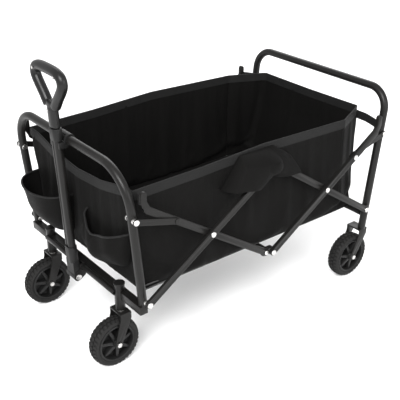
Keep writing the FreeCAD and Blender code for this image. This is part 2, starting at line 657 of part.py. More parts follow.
def build_rear_wheels():
    crown_x = leg_x(CROWN_Z, False)
    for y, tag in ((REAR_WHEEL_Y, "left"), (-REAR_WHEEL_Y, "right")):
        add("rear_fork_" + tag, fork(crown_x, REAR_WHEEL_X, y))
        add("rear_axles", axle(REAR_WHEEL_X, y))
        wheel("rear_" + tag, REAR_WHEEL_X, y)


# ---- fabric bed
def outline(z, grow, low):
    """The bed's plan at a height, as a closed polygon."""
    front = (BED_FRONT_LOW if low else BED_FRONT_HIGH) + grow
    rear = (BED_REAR_LOW if low else BED_REAR_HIGH) - grow
    side = BED_Y + grow
    corner = (BED_Y - 8 if low else BED_CORNER_Y) + grow
    left = [(front, side), (BED_CORNER_X, side), (rear, corner)]
    pts = left + [(px, -py) for px, py in reversed(left)]
    return Part.makePolygon([V(px, py, z) for px, py in pts + pts[:1]])


def build_walls():
    """The bed's walls: one lofted shell, cut into its four sewn panels."""
    low, high = BED_FLOOR_Z + CLOTH, BED_TOP_Z
    wall = Part.makeLoft([outline(low, 0, True), outline(high, 0, False)], True, True)
    room = Part.makeLoft([outline(low, -CLOTH, True), outline(high, -CLOTH, False)], True, True)
    wall = wall.cut(room)
    front, rear = BED_FRONT_LOW - CLOTH - 0.5, BED_CORNER_X
    side, far = 2 * BED_Y, 2 * PIVOT_X
    add("bed_side_left", *wall.common(box(rear, front, 0, side, 0, 2 * high)).Solids)
    add("bed_side_right", *wall.common(box(rear, front, -side, 0, 0, 2 * high)).Solids)
    add("bed_rear_panel", *wall.common(box(-far, rear, -side, side, 0, 2 * high)).Solids)
    panel = wall.common(box(front, far, -side, side, 0, 2 * high))
    wide, narrow, over = BED_Y - 40, 90.0, high + 9
    scoop = [V(0, -wide, over), V(0, wide, over), V(0, narrow, FRONT_HEM_Z), V(0, -narrow, FRONT_HEM_Z)]
    scoop = Part.Face(Part.makePolygon(scoop + scoop[:1])).extrude(V(far, 0, 0))
    add("bed_front_panel", *panel.cut(scoop).Solids)


def build_floor():
    """The cloth floor with its stiff board, which loads rest on."""
    cloth = Part.Face(outline(BED_FLOOR_Z, 0, True)).extrude(V(0, 0, CLOTH))
    face = BED_FLOOR_Z + CLOTH
    rear, front, side = BED_CORNER_X - BOARD_IN, BED_FRONT_LOW - BOARD_IN, BED_Y - BOARD_IN
    add("bed_floor", fuse(cloth, box(rear, front, -side, side, face - 1, face + BOARD_T)))


def half_cup(face, y, half, depth, low, high):
    """Half an elliptic cylinder that stands out from the front panel."""
    ellipse = Part.Ellipse(V(0, 0, 0), max(half, depth), min(half, depth)).toShape()
    cup = Part.Face(Part.Wire([ellipse])).extrude(V(0, 0, high - low))
    if half > depth:
        cup.rotate(V(0, 0, 0), Z, 90)
    cup.translate(V(face, y, low))
    return cup.common(box(face, face + 2 * depth, y - 2 * half, y + 2 * half, low, high))


def build_pouches():
    """Two wide cup pouches on the front panel, each side of the handle."""
    share = (POUCH_TOP_Z - BED_FLOOR_Z) / (BED_TOP_Z - BED_FLOOR_Z)
    face = BED_FRONT_LOW + (BED_FRONT_HIGH - BED_FRONT_LOW) * share + 0.3
    back = CLOTH / 2
    inner = (POUCH_HALF - CLOTH, POUCH_DEPTH - CLOTH, POUCH_LOW_Z + CLOTH, POUCH_TOP_Z + 1)
    for y, tag in ((POUCH_Y, "left"), (-POUCH_Y, "right")):
        cup = half_cup(face, y, POUCH_HALF, POUCH_DEPTH, POUCH_LOW_Z, POUCH_TOP_Z)
        room = half_cup(face + back, y, *inner)
        add("cup_pouch_" + tag, *cup.cut(room).Solids)


def build_corner_straps():
    """Fabric straps that tie the bed's top corners to the arm tips."""
    z = TIP[1] + 14
    strap_t = 6.0
    x = BED_FRONT_HIGH - 18
    both("bed_straps", box(x - strap_t, x, BED_Y + 0.5, IN_0 - 0.3, z - 4, z + 16))
    x = 8 - TIP[0]
    both("bed_straps", box(x - strap_t, x, BED_CORNER_Y + 17, OUT_0 - 0.3, z - 4, z + 14))


def build_arm_flaps():
    """A flap sewn to the rim hangs over the upper end of each long arm."""
    face = OUT_1 + HEAD_T + 1.2
    half, twist = 58.0, 4.0
    rear, front = -18.0, 44.0
    low, top = along(TOP, -FLAP_REACH, -1), TOP[1] + 22
    hang = [
        V(low[0] - half, face, low[1] - twist),
        V(low[0] + half, face, low[1] + twist),
        V(front, face, top),
        V(rear, face, top),
    ]
    flap = Part.Face(Part.makePolygon(hang + hang[:1])).extrude(V(0, FLAP_T, 0))
    both("bed_straps", fuse(flap, box(rear, front, BED_Y + 0.3, face + FLAP_T, top, top + FLAP_T)))


build_front_frame()
build_front_crossbar()
build_caster_sleeves()
build_yoke()
build_handle_bracket()
build_handle()
build_grip()
build_handle_clip()
build_rear_frame()
build_rear_ears()
build_arms()
build_links()
build_centre()
build_casters()
build_rear_wheels()
build_walls()
build_floor()
build_pouches()
build_corner_straps()
build_arm_flaps()

# The overall length runs from the rear top rail to the tread of the front wheels.
FRONT_REACH = CASTER_X + TRAIL + WHEEL_R
REAR_REACH = leg_x(REAR_TOP_Z, False) - LEG_R
MID_X = -(FRONT_REACH + REAR_REACH) / 2

os.makedirs("parts", exist_ok=True)
for node, solids in sorted(parts.items()):
    shape = solids[0] if len(solids) == 1 else Part.makeCompound(solids)
    shape = shape.copy()
    shape.translate(V(MID_X, 0, 0))
    shape.exportStep("parts/" + node + ".step")
    good = all(s.isValid() for s in shape.Solids)
    print(f"{node:26s} solids {len(shape.Solids)} volume {shape.Volume / 1000:9.2f} cm3 valid {good}")
print("nodes", len(parts), "MID_X", round(MID_X, 3), "open angle", round(math.degrees(OPEN), 3))
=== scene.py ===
"""Folding wagon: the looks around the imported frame.

Lengths in the helpers are millimetres measured from the middle plane of the scissor
arms (x), the middle of the wagon (y) and the ground (z). at() turns them into metres
in the frame.
"""
import json
import math

import bpy
from mathutils import Matrix, Vector, noise

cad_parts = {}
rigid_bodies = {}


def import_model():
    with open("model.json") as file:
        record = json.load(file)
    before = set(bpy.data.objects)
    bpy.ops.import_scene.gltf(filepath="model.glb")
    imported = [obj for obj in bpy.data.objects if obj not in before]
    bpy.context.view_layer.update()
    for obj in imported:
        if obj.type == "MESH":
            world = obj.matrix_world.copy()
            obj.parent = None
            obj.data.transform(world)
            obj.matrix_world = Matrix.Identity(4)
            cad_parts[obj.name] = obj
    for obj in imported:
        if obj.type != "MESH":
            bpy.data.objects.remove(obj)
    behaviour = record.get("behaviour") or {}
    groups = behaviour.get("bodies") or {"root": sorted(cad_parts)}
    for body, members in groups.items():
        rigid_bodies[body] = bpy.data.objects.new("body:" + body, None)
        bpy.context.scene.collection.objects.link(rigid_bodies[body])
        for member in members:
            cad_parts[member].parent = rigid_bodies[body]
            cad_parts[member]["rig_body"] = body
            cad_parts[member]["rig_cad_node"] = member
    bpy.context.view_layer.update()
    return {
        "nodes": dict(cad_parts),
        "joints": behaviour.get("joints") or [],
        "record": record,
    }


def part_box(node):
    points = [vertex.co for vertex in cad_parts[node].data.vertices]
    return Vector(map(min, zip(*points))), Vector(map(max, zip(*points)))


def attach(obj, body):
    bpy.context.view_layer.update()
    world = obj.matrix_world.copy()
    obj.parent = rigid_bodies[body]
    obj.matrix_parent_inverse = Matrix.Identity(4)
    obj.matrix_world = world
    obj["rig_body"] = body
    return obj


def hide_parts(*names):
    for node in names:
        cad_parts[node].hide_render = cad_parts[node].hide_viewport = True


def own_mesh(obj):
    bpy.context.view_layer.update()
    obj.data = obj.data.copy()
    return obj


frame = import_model()

MM = 0.001
HUB_LOW, HUB_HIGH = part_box("hub_brackets")
MIDDLE = (HUB_LOW.x + HUB_HIGH.x) / 2
X, Y, Z = Vector((1, 0, 0)), Vector((0, 1, 0)), Vector((0, 0, 1))
JOINT = {j["name"]: j for j in frame["joints"]}


def at(x, y, z):
    return Vector((MIDDLE + x * MM, y * MM, z * MM))


# ---- shader maths
class Wire:
    """A socket that can be used in sums."""

    def __init__(self, tree, socket):
        self.tree, self.socket = tree, socket

    def sum(self, operation, *terms):
        n = self.tree.nodes.new("ShaderNodeMath")
        n.operation = operation
        for slot, term in zip(n.inputs, terms):
            plug(self.tree, slot, term)
        return Wire(self.tree, n.outputs[0])

    def __add__(self, other):
        return self.sum("ADD", self, other)

    __radd__ = __add__

    def __mul__(self, other):
        return self.sum("MULTIPLY", self, other)

    __rmul__ = __mul__

    def __rsub__(self, other):
        return self.sum("SUBTRACT", other, self)

    def sin(self):
        return self.sum("SINE", self)

    def above(self, other):
        return self.sum("GREATER_THAN", self, other)

    def size(self):
        return self.sum("ABSOLUTE", self)


def plug(tree, slot, value):
    if isinstance(value, Wire):
        tree.links.new(value.socket, slot)
    else:
        slot.default_value = value


def add_node(tree, kind, settings=None, out=0, **inputs):
    n = tree.nodes.new("ShaderNode" + kind)
    for key, value in (settings or {}).items():
        setattr(n, key, value)
    for key, value in inputs.items():
        plug(tree, n.inputs[key.replace("_", " ")], value)
    return Wire(tree, n.outputs[out])


def start_material(name, **fixed):
    """A material with its principled shader's steady values set."""
    mat = bpy.data.materials.new(name)
    mat.use_nodes = True
    shader = mat.node_tree.nodes["Principled BSDF"]
    for key, value in fixed.items():
        shader.inputs[key.replace("_", " ")].default_value = value
    place = add_node(mat.node_tree, "TexCoord", out=3)
    return mat, shader, place


def grey(v, warm=0.0):
    return (v * (1 + warm), v, v * (1 - warm), 1)


def tones(tree, mask, dark, light):
    """Mixes two colours by a mask from 0 to 1."""
    n = tree.nodes.new("ShaderNodeMix")
    n.data_type = "RGBA"
    plug(tree, n.inputs[0], mask)
    n.inputs[6].default_value = dark
    n.inputs[7].default_value = light
    return Wire(tree, n.outputs[2])


def speckle(tree, place, scale, detail=3.0):
    return add_node(tree, "TexNoise", Vector=place, Scale=scale, Detail=detail)


def bump(tree, shader, height, strength, depth):
    b = add_node(tree, "Bump", Height=height, Strength=strength, Distance=depth)
    plug(tree, shader.inputs["Normal"], b)


def powder_coat(name, rough, orange_peel):
    """Black powder coat: fine orange peel, a little dust, worn brighter in spots."""
    mat, shader, place = start_material(name, Coat_Weight=0.03, Coat_Roughness=0.18, Specular_IOR_Level=0.16)
    tree = mat.node_tree
    dust = speckle(tree, place, 14.0, 6.0)
    fine = speckle(tree, place, 900.0, 2.0)
    plug(tree, shader.inputs["Base Color"], tones(tree, dust, grey(0.0045, 0.04), grey(0.0095, 0.05)))
    plug(tree, shader.inputs["Roughness"], rough + 0.14 * dust + 0.05 * fine)
    bump(tree, shader, fine, orange_peel, 0.0002)
    return mat


def zinc(name):
    """Zinc-plated rivet and bolt heads, turned and slightly dull."""
    mat, shader, place = start_material(name, Metallic=1.0)
    tree = mat.node_tree
    cloud = speckle(tree, place, 160.0, 4.0)
    plug(tree, shader.inputs["Base Color"], tones(tree, cloud, grey(0.46, 0.02), grey(0.68, 0.02)))
    plug(tree, shader.inputs["Roughness"], 0.2 + 0.22 * cloud)
    bump(tree, shader, speckle(tree, place, 1500.0), 0.2, 0.0001)
    return mat


def moulded(name, dark, light, rough, grain, scale):
    """Moulded plastic with a fine spark-eroded grain."""
    mat, shader, place = start_material(name, Specular_IOR_Level=0.2)
    tree = mat.node_tree
    cloud = speckle(tree, place, 22.0, 4.0)
    fine = speckle(tree, place, scale, 2.0)
    plug(tree, shader.inputs["Base Color"], tones(tree, cloud, grey(dark), grey(light, 0.01)))
    plug(tree, shader.inputs["Roughness"], rough + 0.12 * cloud)
    bump(tree, shader, fine, grain, 0.0003)
    return mat


def cloth(name, first, second, dark=0.0022, light=0.0052):
    """Woven polyester: two thread directions that pass over and under each other."""
    mat, shader, place = start_material(
        name, Sheen_Weight=0.01, Sheen_Roughness=0.45, Specular_IOR_Level=0.05)
    tree = mat.node_tree
    split = tree.nodes.new("ShaderNodeSeparateXYZ")
    plug(tree, split.inputs[0], place)
    a = Wire(tree, split.outputs[first])
    b = Wire(tree, split.outputs[second])
    pitch = math.pi / 0.0011
    warp = (a * pitch).sin()
    weft = (b * pitch).sin()
    over = (warp * weft).above(0.0)
    weave = over * warp.size() + (1 - over) * weft.size()
    cloud = speckle(tree, place, 7.0, 5.0)
    slub = speckle(tree, place, 260.0, 2.0)
    shade = tones(tree, cloud * 0.7 + slub * 0.3, grey(dark, 0.04), grey(light, 0.05))
    plug(tree, shader.inputs["Base Color"], shade)
    plug(tree, shader.inputs["Roughness"], 0.58 + 0.16 * cloud + 0.06 * weave)
    crease = add_node(tree, "TexNoise", {"noise_type": "RIDGED_MULTIFRACTAL"},
                      Vector=place, Scale=9.0, Detail=3.0)
    bump(tree, shader, weave * 0.14 + slub * 0.05 + crease * 0.18, 0.5, 0.0016)
    return mat


def webbing(name, dark=0.005, light=0.011):
    """Folded binding tape with ribs along the edge."""
    mat, shader, place = start_material(name, Sheen_Weight=0.03, Sheen_Roughness=0.4, Specular_IOR_Level=0.12)
    tree = mat.node_tree
    ribs = add_node(tree, "TexWave", {"wave_type": "BANDS", "bands_direction": "DIAGONAL"},
                    Vector=place, Scale=520.0, Distortion=1.0)
    cloud = speckle(tree, place, 40.0, 4.0)
    plug(tree, shader.inputs["Base Color"], tones(tree, cloud, grey(dark), grey(light, 0.01)))
    plug(tree, shader.inputs["Roughness"], 0.6 + 0.14 * cloud)
    bump(tree, shader, ribs, 0.35, 0.0004)
    return mat


def rubber(name):
    """Moulded foam-rubber tyre, scuffed lighter on what touches the ground."""
    mat, shader, place = start_material(name, Specular_IOR_Level=0.14)
    tree = mat.node_tree
    scuff = speckle(tree, place, 60.0, 6.0)
    fine = speckle(tree, place, 700.0, 3.0)
    plug(tree, shader.inputs["Base Color"], tones(tree, scuff, grey(0.006), grey(0.015, 0.03)))
    plug(tree, shader.inputs["Roughness"], 0.55 + 0.2 * scuff)
    bump(tree, shader, fine * 0.6 + scuff * 0.4, 0.3, 0.0004)
    return mat


COAT = powder_coat("black powder coat", 0.26, 0.16)
POLE_COAT = powder_coat("smooth pole coat", 0.2, 0.07)
ZINC = zinc("zinc rivet")
JOINT_PLASTIC = moulded("moulded joint plastic", 0.0045, 0.009, 0.38, 0.25, 1100.0)
GRIP_PLASTIC = moulded("moulded grip plastic", 0.005, 0.009, 0.26, 0.12, 1300.0)
WHEEL_PLASTIC = moulded("moulded wheel plastic", 0.005, 0.01, 0.36, 0.25, 1000.0)
TYRE_RUBBER = rubber("tyre rubber")
SIDE_CLOTH = cloth("side cloth", 0, 2)
END_CLOTH = cloth("end cloth", 1, 2)
FLOOR_CLOTH = cloth("floor cloth", 0, 1)
TAPE = webbing("binding tape")
# painted highlight: the piping is coloured much lighter than the black tape to stand in for its lit edges
PIPING_PAINTED_HIGHLIGHT = webbing("piping painted highlight", 0.035, 0.07)


# ---- modelling helpers
def deselect():
    if bpy.context.mode != "OBJECT":
        bpy.ops.object.mode_set(mode="OBJECT")
    bpy.ops.object.select_all(action="DESELECT")


def pick(obj):
    deselect()
    obj.select_set(True)
    bpy.context.view_layer.objects.active = obj
    return obj


def select_faces(obj, wanted):
    """Enters edit mode with only the wanted faces selected."""
    pick(obj)
    bpy.context.tool_settings.mesh_select_mode = (False, False, True)
    bpy.ops.object.mode_set(mode="EDIT")
    bpy.ops.mesh.select_all(action="DESELECT")
    bpy.ops.object.mode_set(mode="OBJECT")
    for f in obj.data.polygons:
        f.select = wanted(f)
    bpy.ops.object.mode_set(mode="EDIT")


def apply_all(obj):
    pick(obj)
    for m in list(obj.modifiers):
        bpy.ops.object.modifier_apply(modifier=m.name)
    return obj


def smooth(obj, angle=35):
    pick(obj)
    bpy.ops.object.shade_smooth_by_angle(angle=math.radians(angle))
    return obj


def outward(obj):
    pick(obj)
    bpy.ops.object.mode_set(mode="EDIT")
    bpy.ops.mesh.select_all(action="SELECT")
    bpy.ops.mesh.remove_doubles(threshold=0.00002)
    bpy.ops.mesh.normals_make_consistent(inside=False)
    bpy.ops.object.mode_set(mode="OBJECT")
    return obj


def coat(obj, material):
    obj.data.materials.clear()
    obj.data.materials.append(material)
    return obj


def join(name, pieces):
    deselect()
    for p in pieces:
        p.select_set(True)
    bpy.context.view_layer.objects.active = pieces[0]
    if len(pieces) > 1:
        bpy.ops.object.join()
    pieces[0].name = name
    return pieces[0]


def copy_of(obj, name):
    twin = obj.copy()
    twin.data = obj.data.copy()
    twin.name = name
    bpy.context.scene.collection.objects.link(twin)
    return twin


def sheet_grid(name, across, up, place):
    """A grid of cloth whose points are put in place by place(u, v)."""
    deselect()
    bpy.ops.mesh.primitive_grid_add(x_subdivisions=across, y_subdivisions=up, size=2)
    obj = bpy.context.active_object
    obj.name = name
    for v in obj.data.vertices:
        v.co = place(v.co.x / 2 + 0.5, v.co.y / 2 + 0.5)
    return obj


def thicken(obj, thickness, offset=0.0):
    m = obj.modifiers.new("thickness", "SOLIDIFY")
    m.thickness = thickness * MM
    m.offset = offset
    m.use_even_offset = False
    return apply_all(obj)


def subdivide(obj, levels=1):
    m = obj.modifiers.new("smooth", "SUBSURF")
    m.levels = levels
    m.render_levels = levels
    return apply_all(obj)


def softened(node, material, width=0.5, angle=35, slot=None):
    """A copy of a CAD node with its hard edges rounded."""
    source = frame["nodes"][node]
    obj = copy_of(source, node + ".soft")
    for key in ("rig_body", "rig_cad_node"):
        if key in obj:
            del obj[key]
    obj.parent = None
    pick(obj)
    bpy.ops.object.mode_set(mode="EDIT")
    bpy.ops.mesh.select_all(action="SELECT")
    bpy.ops.mesh.remove_doubles(threshold=0.00001)
    bpy.ops.mesh.dissolve_limited(angle_limit=math.radians(1.0))
    bpy.ops.object.mode_set(mode="OBJECT")
    b = obj.modifiers.new("edges", "BEVEL")
    b.width = width * MM
    b.segments = 2
    b.limit_method = "ANGLE"
    b.angle_limit = math.radians(angle)
    b.use_clamp_overlap = True
    apply_all(obj)
    smooth(obj, 40)
    coat(obj, material)
    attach(obj, source["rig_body"])
    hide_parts(node)
    slot_of(node)
    return obj


def slot_of(node):
    return next(s["material_slot"] for s in frame["record"]["subparts"] if s["node"] == node)


def tube_between(name, points, radius, resolution=8, cyclic=False, order=3):
    """A round tube along a smooth line through given points."""
    curve = bpy.data.curves.new(name, "CURVE")
    curve.dimensions = "3D"
    curve.bevel_depth = radius * MM
    curve.bevel_resolution = resolution
    curve.resolution_u = 8
    curve.use_fill_caps = not cyclic
    line = curve.splines.new("NURBS")
    line.points.add(len(points) - 1)
    for p, place in zip(line.points, points):
        p.co = (*place, 1)
    line.order_u = order
    line.use_endpoint_u = not cyclic
    line.use_cyclic_u = cyclic
    obj = bpy.data.objects.new(name, curve)
    bpy.context.scene.collection.objects.link(obj)
    pick(obj)
    bpy.ops.object.convert(target="MESH")
    return outward(smooth(bpy.context.active_object, 60))


# ---- frames, arms and small metal pieces: CAD shapes with rounded edges
def dress_metal():
    plain = {
        "front_frame_tube": (COAT, 0.4), "rear_frame_tube": (COAT, 0.4), "front_crossbar": (COAT, 1.4),
        "caster_sleeves": (COAT, 0.8), "yoke_bars": (COAT, 0.4), "handle_bracket": (COAT, 0.6),
        "handle_hinge_bolt": (ZINC, 0.7), "front_frame_rivets": (ZINC, 0.5), "rear_frame_rivets": (ZINC, 0.5),
        "front_arm_rivets": (ZINC, 0.5), "rear_arm_rivets": (ZINC, 0.5), "hub_pins": (ZINC, 0.5),
        "top_pins": (ZINC, 0.5), "front_leg_plugs": (JOINT_PLASTIC, 0.4), "rear_crossbar": (COAT, 0.4),
        "rear_pivot_ears": (COAT, 0.6), "front_links": (COAT, 0.6), "rear_links": (COAT, 0.6),
        "hub_brackets": (COAT, 0.6), "hub_cross_tube": (COAT, 0.4), "rim_hangers": (COAT, 0.5),
        "rear_axles": (ZINC, 0.6), "handle_clip": (JOINT_PLASTIC, 0.8), "handle_socket": (JOINT_PLASTIC, 1.2),
        "handle_inner_pole": (POLE_COAT, 0.2), "grip_screws": (ZINC, 0.2),
        "handle_collar": (JOINT_PLASTIC, 1.2),
    }
    for node, (material, width) in plain.items():
        softened(node, material, width)
    for side in ("left", "right"):
        softened("front_long_arm_" + side, COAT, 2.4)
        softened("rear_tip_arm_" + side, COAT, 2.4)
        softened("front_tip_arm_" + side, COAT, 1.4)
        softened("rear_long_arm_" + side, COAT, 1.4)
        for part in ("caster_fork_", "rear_fork_"):
            softened(part + side, COAT, 0.8)
        softened("caster_bolts_" + side, ZINC, 0.6)


# ---- wheels
RIM_SPOKES = 7
TREAD_BLOCKS = 34


def lathe(name, profile, steps=72):
    """A ring turned about the wheel's axle from a closed profile of (radius, width) points."""
    deselect()
    bpy.ops.mesh.primitive_circle_add(vertices=len(profile), radius=1)
    obj = bpy.context.active_object
    obj.name = name
    for v, (r, w) in zip(obj.data.vertices, profile):
        v.co = Vector((0, w * MM, r * MM))
    bpy.ops.object.mode_set(mode="EDIT")
    bpy.ops.mesh.select_all(action="SELECT")
    bpy.ops.mesh.spin(steps=steps, angle=math.tau, center=(0, 0, 0), axis=(0, 1, 0))
    bpy.ops.object.mode_set(mode="OBJECT")
    return outward(obj)


def tread_block(row, radius, half):
    """One raised block of the tread: the middle row is wide, the side rows wrap the shoulder."""
    deselect()
    bpy.ops.mesh.primitive_cube_add(size=1)
    obj = bpy.context.active_object
    long = math.tau * radius / TREAD_BLOCKS * 0.66
    wide = half * (0.52 if row == 0 else 0.5)
    obj.scale = Vector((long, wide, 4.6)) * MM
    obj.rotation_euler = (0, 0, math.radians(24 if row == 0 else -14 * row))
    bpy.ops.object.transform_apply(rotation=True, scale=True)
    bpy.ops.object.mode_set(mode="EDIT")
    bpy.ops.mesh.bevel(offset=0.9 * MM, segments=1, affect="EDGES")
    bpy.ops.object.mode_set(mode="OBJECT")
    tilt = Matrix.Rotation(-row * math.radians(24), 4, "X")
    drop = radius - (1.9 if row == 0 else 3.9)
    obj.data.transform(Matrix.Translation(Vector((0, row * half * 0.62, drop)) * MM) @ tilt)
    return obj


def make_tyre():
    """A treaded tyre about the origin, its axle along Y."""
    low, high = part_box("tyre_front_left")
    radius = (high.z - low.z) / 2 / MM
    half = (high.y - low.y) / 2 / MM
    carcass = radius - 3.4
    profile = [(51.9, -half + 3.5), (56, -half + 0.9), (carcass - 5, -half + 0.6),
               (carcass - 1.4, -half + 3.2), (carcass, -half * 0.5), (carcass + 0.4, 0),
               (carcass, half * 0.5), (carcass - 1.4, half - 3.2), (carcass - 5, half - 0.6),
               (56, half - 0.9), (51.9, half - 3.5)]
    pieces = [lathe("tyre", profile)]
    for row in (-1, 0, 1):
        block = tread_block(row, radius, half)
        for i in range(TREAD_BLOCKS):
            twin = copy_of(block, "block")
            twin.data.transform(Matrix.Rotation((i + 0.5 * abs(row)) / TREAD_BLOCKS * math.tau, 4, "Y"))
            pieces.append(twin)
        bpy.data.objects.remove(block)
    return coat(smooth(join("tyre", pieces), 32), TYRE_RUBBER)


def make_rim():
    """A spoked rim about the origin."""
    low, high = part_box("tyre_front_left")
    half = (high.y - low.y) / 2 / MM - 2.6
    ring = [(51.8, -half), (49.6, -half - 1.6), (46.8, -half - 0.6), (45.4, -half + 4), (44.2, -5), (44.2, 5),
            (45.4, half - 4), (46.8, half + 0.6), (49.6, half + 1.6), (51.8, half)]
    hub = [(4.1, -half - 5), (9.5, -half - 5), (11, -half - 3.6), (13, -half + 3), (13.5, 0), (13, half - 3),
           (11, half + 3.6), (9.5, half + 5), (4.1, half + 5)]
    web = [(12, -1.6), (45, -1.2), (45, 1.2), (12, 1.6)]
    pieces = [lathe("rim", ring), lathe("hub", hub, 48), lathe("web", web)]
    rib = spoke(half)
    for i in range(RIM_SPOKES):
        twin = copy_of(rib, "rib")
        twin.data.transform(Matrix.Rotation(math.tau * (i + 0.5) / RIM_SPOKES, 4, "Y"))
        pieces.append(twin)
    bpy.data.objects.remove(rib)
    return coat(smooth(join("rim", pieces), 30), WHEEL_PLASTIC)


def spoke(half):
    """A deep rib that is narrow at the rim and flares into the hub."""
    deselect()
    bpy.ops.mesh.primitive_cube_add(size=1)
    obj = bpy.context.active_object
    for v in obj.data.vertices:
        outer = v.co.z > 0
        v.co.z = (45.2 if outer else 11.5) * MM
        v.co.x *= (7.5 if outer else 10.5) * MM
        v.co.y *= 2 * (half - (3.5 if outer else -0.5)) * MM
    bpy.ops.object.mode_set(mode="EDIT")
    bpy.ops.mesh.select_all(action="SELECT")
    bpy.ops.mesh.bevel(offset=1.5 * MM, segments=2, affect="EDGES")
    bpy.ops.object.mode_set(mode="OBJECT")
    return obj


def dress_wheels():
    tyre, rim = make_tyre(), make_rim()
    for end in ("front", "rear"):
        for side in ("left", "right"):
            tag = end + "_" + side
            low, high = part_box("tyre_" + tag)
            for node, model in (("tyre_" + tag, tyre), ("wheel_rim_" + tag, rim)):
                piece = copy_of(model, node + ".fine")
                piece.data.transform(Matrix.Translation((low + high) / 2))
                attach(piece, end + "_wheel_" + side)
                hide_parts(node)
                slot_of(node)
    bpy.data.objects.remove(tyre)
    bpy.data.objects.remove(rim)


# ---- handle
HINGE = Vector(JOINT["handle_hinge"]["pos_m"])
POLE_AXIS = Vector(JOINT["handle_slide"]["axis"]).normalized()
STAND = Matrix.Translation(HINGE) @ Matrix.Rotation(math.atan2(POLE_AXIS.x, POLE_AXIS.z), 4, "Y")


def extruded(name, section, low, high):
    """A bar of one section, given in the pole's own plane as (x, y) points."""
    deselect()
    bpy.ops.mesh.primitive_circle_add(vertices=len(section), radius=1, fill_type="NGON")
    obj = bpy.context.active_object
    obj.name = name
    for v, (x, y) in zip(obj.data.vertices, section):
        v.co = Vector((x, y, low)) * MM
    bpy.ops.object.mode_set(mode="EDIT")
    bpy.ops.mesh.select_all(action="SELECT")
    bpy.ops.mesh.extrude_region_move(TRANSFORM_OT_translate={"value": (0, 0, (high - low) * MM)})
    bpy.ops.object.mode_set(mode="OBJECT")
    return obj


def grooved_section(wide, deep):
    """A flat-sided tube section with a shallow groove down each wide face."""
    quarter = []
    r = deep / 2
    for i in range(9):
        a = math.pi / 2 * i / 8
        quarter.append((r * math.sin(a), wide / 2 - r + r * math.cos(a)))
    quarter += [(r, 5.2), (r - 0.5, 4.6), (r - 1.4, 3.6), (r - 1.5, 2.5)]
    right = quarter + [(x, -y) for x, y in reversed(quarter)]
    left = [(-x, y) for x, y in reversed(right)][1:-1]
    return right + left


def make_outer_pole():
    low = (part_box("handle_outer_pole")[0] - HINGE).dot(POLE_AXIS) / MM + 1.0
    high = (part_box("handle_outer_pole")[1] - HINGE).dot(POLE_AXIS) / MM - 1.0
    pole = extruded("outer_pole.grooved", grooved_section(32, 20), low, high)
    pole.data.transform(STAND)
    coat(smooth(outward(pole), 30), COAT)
    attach(pole, "handle_base")
    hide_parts("handle_outer_pole")
    slot_of("handle_outer_pole")


GRIP_PATH = [(-17, 474), (-34, 498), (-54, 520), (-66, 538), (-62, 556), (-42, 564), (0, 565), (42, 564),
             (62, 556), (66, 538), (54, 520), (34, 498), (17, 474)]


def make_grip():
    """The loop grip: rough rods and neck melted into one shell, then smoothed."""
    parts = []
    line = [Vector((0, y, z)) * MM for y, z in GRIP_PATH]
    rod = tube_between("grip.loop", line, 13.0, 10)
    parts.append(rod)
    deselect()
    bpy.ops.mesh.primitive_cylinder_add(vertices=48, radius=1, depth=1)
    neck = bpy.context.active_object
    neck.data.transform(Matrix.Diagonal(Vector((11.6, 19.5, 66, 1)) * MM))
    for v in neck.data.vertices:
        v.co.z += 453 * MM
    parts.append(neck)
    grip = join("grip.shell", parts)
    m = grip.modifiers.new("melt", "REMESH")
    m.mode = "VOXEL"
    m.voxel_size = 1.6 * MM
    s = grip.modifiers.new("relax", "SMOOTH")
    s.factor = 0.6
    s.iterations = 14
    apply_all(grip)
    for v in grip.data.vertices:
        seam = max(0.0, 1 - abs(v.co.x) / (1.7 * MM))
        v.co -= v.normal * 0.7 * MM * seam
        ribs = max(0.0, math.sin(v.co.y / MM * 0.72)) if v.co.z > 548 * MM and v.co.z < 560 * MM else 0
        v.co -= v.normal * 0.5 * MM * ribs * (abs(v.co.y) < 44 * MM)
    grip.data.transform(STAND)
    coat(smooth(grip, 50), GRIP_PLASTIC)
    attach(grip, "handle_slider")
    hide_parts("grip_front_shell", "grip_rear_shell")
    slot_of("grip_front_shell")


def dress_handle():
    make_outer_pole()
    make_grip()


# ---- the cloth bed
FRONT_LOW, FRONT_HIGH = 381.0, 398.0
REAR_LOW, REAR_HIGH = -364.0, -412.0
SIDE_Y = 247.0
CORNER_X, CORNER_Y = -300.0, 194.0
FLOOR_Z = 235.5
STEP = 9.0
WALL_TALL = 276
CRUMPLE_PUSH = 9
CLOTH_FRAMES = 30
DEEPEST_IN, FURTHEST_OUT = -22, 11
HEM_WIDE, HEM_THICK, HEM_LIFT, HEM_GAP = 22, 1.2, 1.2, 1.7
COVER_OUT_FRONT, COVER_OUT_REAR = 52, 42


def rim_points():
    """The rim from the front left corner round to the front right corner, and back along the front."""
    left = [(FRONT_HIGH, SIDE_Y, 507), (200, SIDE_Y + 1, 511), (0, SIDE_Y + 2, 521), (-150, SIDE_Y + 1, 517),
            (CORNER_X, SIDE_Y, 513)]
    rear = [(REAR_HIGH, CORNER_Y, 514), (REAR_HIGH - 2, 0, 511), (REAR_HIGH, -CORNER_Y, 514)]
    right = [(x, -y, z) for x, y, z in reversed(left)]
    front = [(FRONT_HIGH - 3, -205, 502), (FRONT_HIGH - 1, -110, 482), (FRONT_HIGH, 0, 474),
             (FRONT_HIGH - 1, 110, 482), (FRONT_HIGH - 3, 205, 502)]
    return left, rear, right, front


def base_points():
    left = [(FRONT_LOW, SIDE_Y - 1, 0), (200, SIDE_Y, 0), (0, SIDE_Y, 0), (-150, SIDE_Y, 0),
            (CORNER_X, SIDE_Y, 0)]
    rear = [(REAR_LOW, SIDE_Y - 6, 0), (REAR_LOW, 0, 0), (REAR_LOW, -SIDE_Y + 6, 0)]
    right = [(x, -y, z) for x, y, z in reversed(left)]
    front = [(FRONT_LOW, y, 0) for y in (-205, -110, 0, 110, 205)]
    return left, rear, right, front


